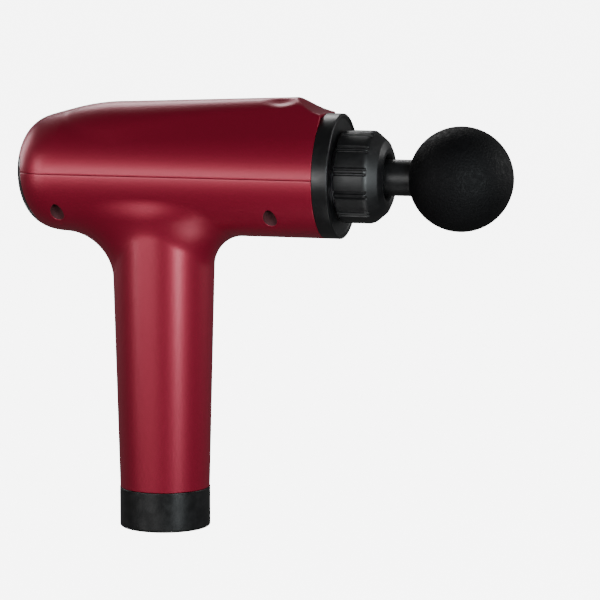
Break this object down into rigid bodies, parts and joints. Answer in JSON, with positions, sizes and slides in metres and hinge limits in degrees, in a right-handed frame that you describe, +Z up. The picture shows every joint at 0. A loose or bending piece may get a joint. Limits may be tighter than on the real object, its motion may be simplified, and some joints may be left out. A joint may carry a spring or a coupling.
{
  "type": "massage gun",
  "caption": "T-shaped cordless percussion massager with a painted body, rear touch panel, ribbed nose collar, foam ball head and a slide-out battery handle.",
  "frame": {"origin": "centre of the base's flat bottom face, on the handle's axis", "axes": "+Z up the handle, +X along the barrel towards the massage head, +Y to the left when looking along +X"},
  "size_m": [0.2443, 0.06, 0.2115],
  "materials": {
    "painted_shell": "satin metallic paint",
    "black_satin": "satin",
    "black_gloss": "gloss",
    "black_matte": "matte",
    "foam": "fine pebbled foam",
    "rubber_black": "matte",
    "alloy": "machined",
    "steel": "brushed",
    "zinc_screw": "bright",
    "magnet": "matte",
    "lamination": "matte",
    "copper": "enamelled",
    "contact_metal": "plated",
    "bearing_plastic": "matte",
    "circuit_board": "satin",
    "wire_insulation": "satin",
    "cell_wrap": "shrink film",
    "capacitor_can": "satin",
    "clear_light": "translucent"
  },
  "bodies": {
    "housing": {"lower_shell": "painted_shell", "upper_shell": "painted_shell", "front_ring": "black_satin", "nose_collar": "black_satin", "display_panel": "black_gloss", "display_board": "circuit_board", "case_screws": "zinc_screw", "mech_frame": "alloy", "frame_cover": "alloy", "frame_screws": "zinc_screw", "frame_dampers": "rubber_black", "guide_bush": "bearing_plastic", "wiper_seal": "rubber_black", "motor_base": "alloy", "motor_stator": "lamination", "stator_windings": "copper", "motor_bearings": "steel", "motor_screws": "zinc_screw", "drive_board": "circuit_board", "board_capacitors": "capacitor_can", "motor_leads": "wire_insulation", "power_leads": "wire_insulation", "contact_block": "black_matte", "contact_pins": "contact_metal"},
    "crank": {"motor_bell": "steel", "bell_magnets": "magnet", "motor_shaft": "steel", "crank_wheel": "steel", "crank_pin": "steel", "pin_bearing": "steel"},
    "piston": {"yoke": "alloy", "piston_tube": "alloy", "piston_pin": "steel", "socket_liner": "rubber_black"},
    "head": {"head_stem": "black_matte", "head_ball": "foam", "head_seals": "rubber_black"},
    "battery_pack": {"battery_base": "black_satin", "battery_tube": "black_matte", "battery_cells": "cell_wrap", "cell_spacer": "bearing_plastic", "battery_board": "circuit_board", "battery_contacts": "contact_metal", "tube_seal": "rubber_black", "charge_socket": "black_matte", "charge_pin": "contact_metal", "charge_light": "clear_light", "rocker_frame": "black_matte"},
    "rocker": {"power_rocker": "black_gloss"}
  },
  "joints": [
    {"name": "piston_stroke", "type": "slide", "parent": "housing", "child": "piston", "axis": [1, 0, 0], "range_m": [-0.006, 0.006]},
    {"name": "crank_turn", "type": "hinge", "parent": "housing", "child": "crank", "pos_m": [0, 0, 0.174], "axis": [0, 0, 1], "range_deg": [-90, 90]},
    {"name": "head_pull", "type": "slide", "parent": "piston", "child": "head", "axis": [1, 0, 0], "range_m": [0, 0.03]},
    {"name": "battery_slide", "type": "slide", "parent": "housing", "child": "battery_pack", "axis": [0, 0, -1], "range_m": [0, 0.13]},
    {"name": "rocker_tilt", "type": "hinge", "parent": "battery_pack", "child": "rocker", "pos_m": [-0.0129, 0, 0.004], "axis": [-1, 0, 0], "range_deg": [0, 16]}
  ],
  "couplings": [
    {"joint": "crank_turn", "follows": "piston_stroke", "rad_per_m": -261.79}
  ]
}
